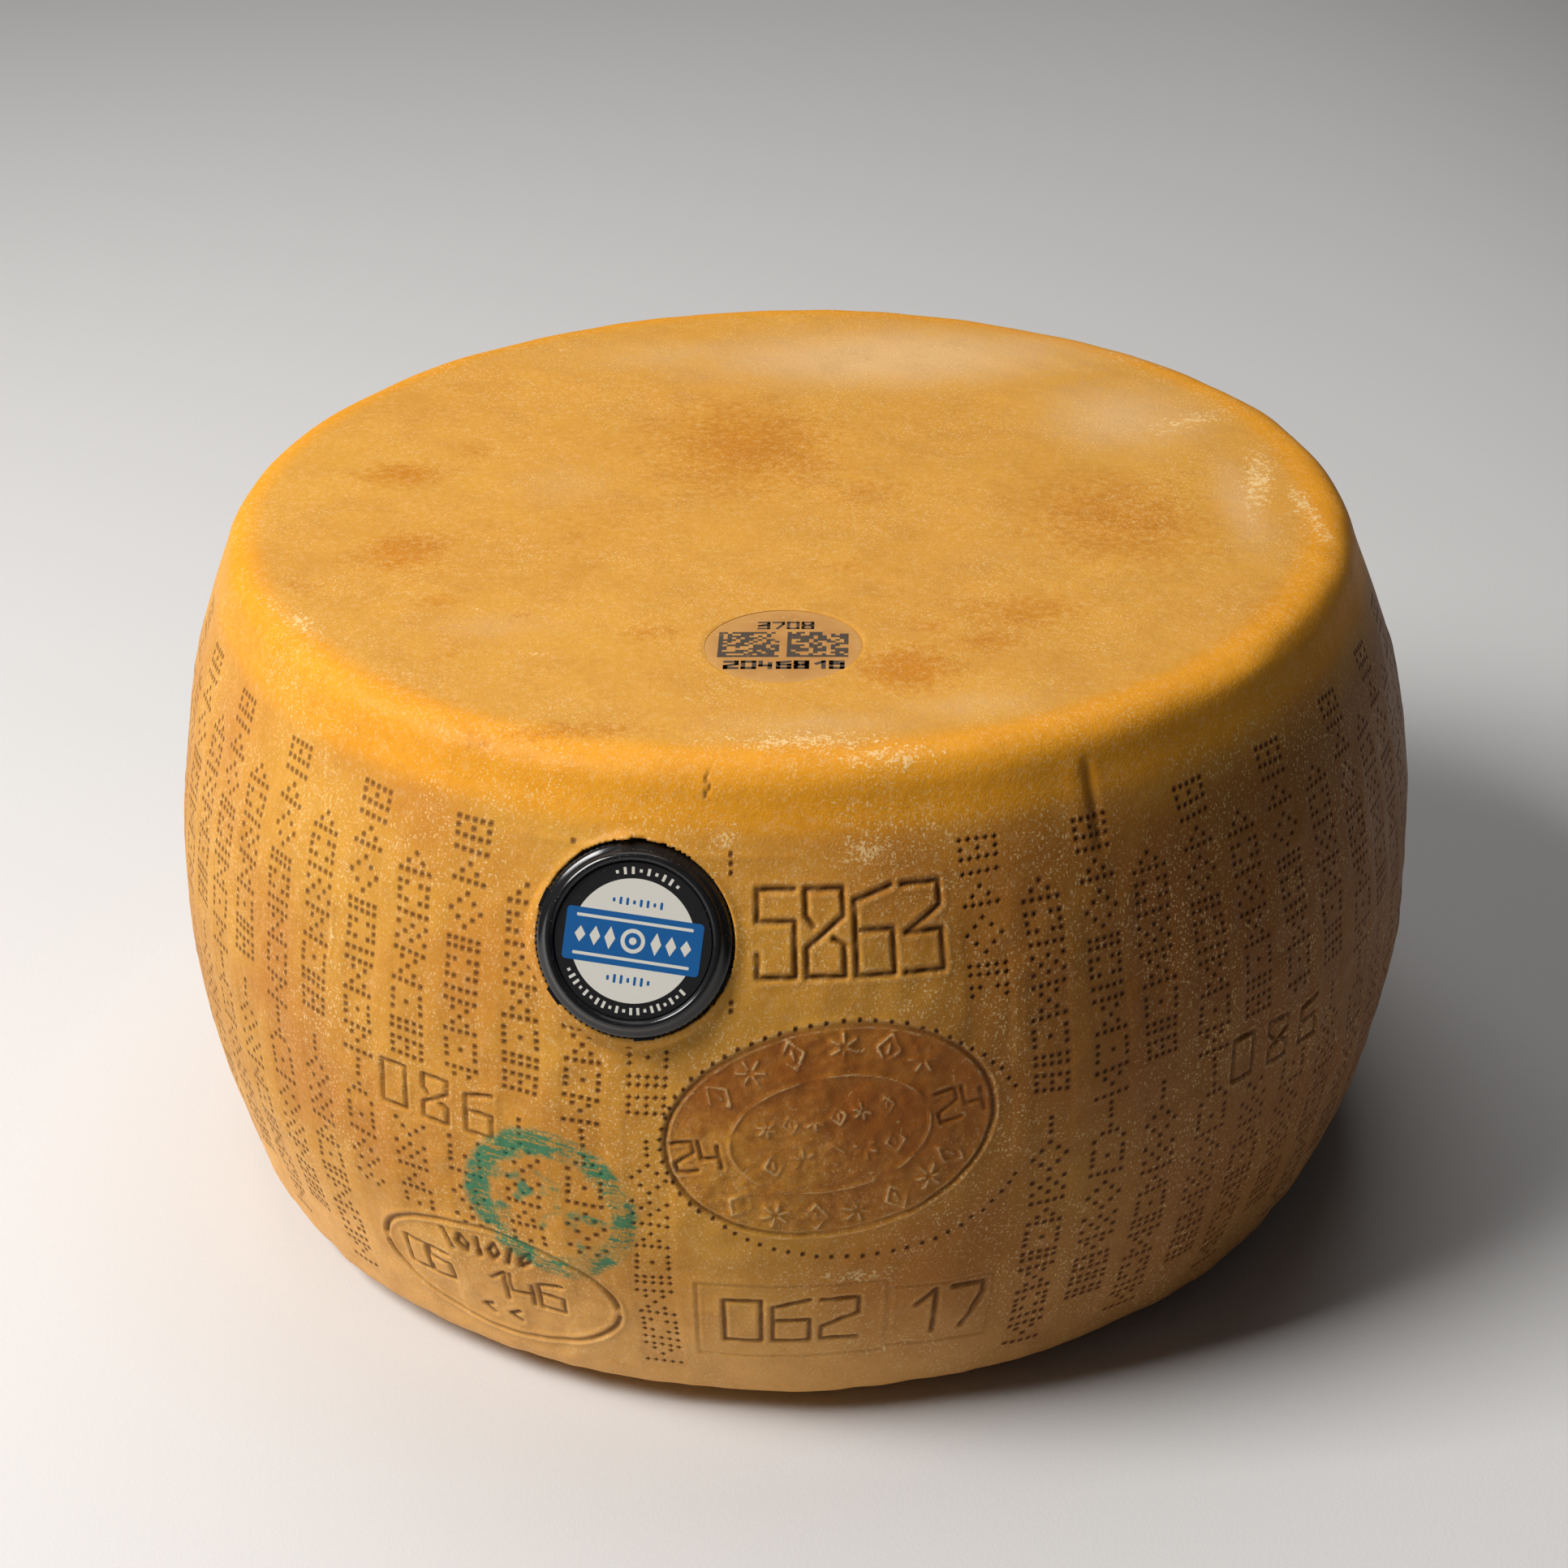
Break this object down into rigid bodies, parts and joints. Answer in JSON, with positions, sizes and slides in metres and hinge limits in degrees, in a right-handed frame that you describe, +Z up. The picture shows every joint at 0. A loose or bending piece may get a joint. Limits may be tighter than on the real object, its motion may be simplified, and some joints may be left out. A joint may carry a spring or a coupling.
{
  "type": "parmigiano reggiano",
  "caption": "Whole wheel of aged hard cheese: barrel side with pressed marks and digits, rounded rim, flat top with a casein plate, and a round black cap badge pressed into the side.",
  "frame": {"origin": "middle of the flat base, on the surface that the wheel stands on", "axes": "+Z up, -Y towards the marked front, +X to the right seen from the front"},
  "size_m": [0.4396, 0.4404, 0.2336],
  "materials": {
    "rind": "golden yellow-brown oiled cheese rind, satin, with pale frosty flecks and dark pressed dots",
    "badge_plastic": "glossy black moulded plastic",
    "badge_print": "printed film disc in black, cream and blue",
    "casein": "thin amber casein plate with dark print, let into the rind"
  },
  "bodies": {
    "root": {"wheel": "rind", "cap_badge": "badge_plastic", "badge_label": "badge_print", "casein_plate": "casein"}
  },
  "joints": []
}
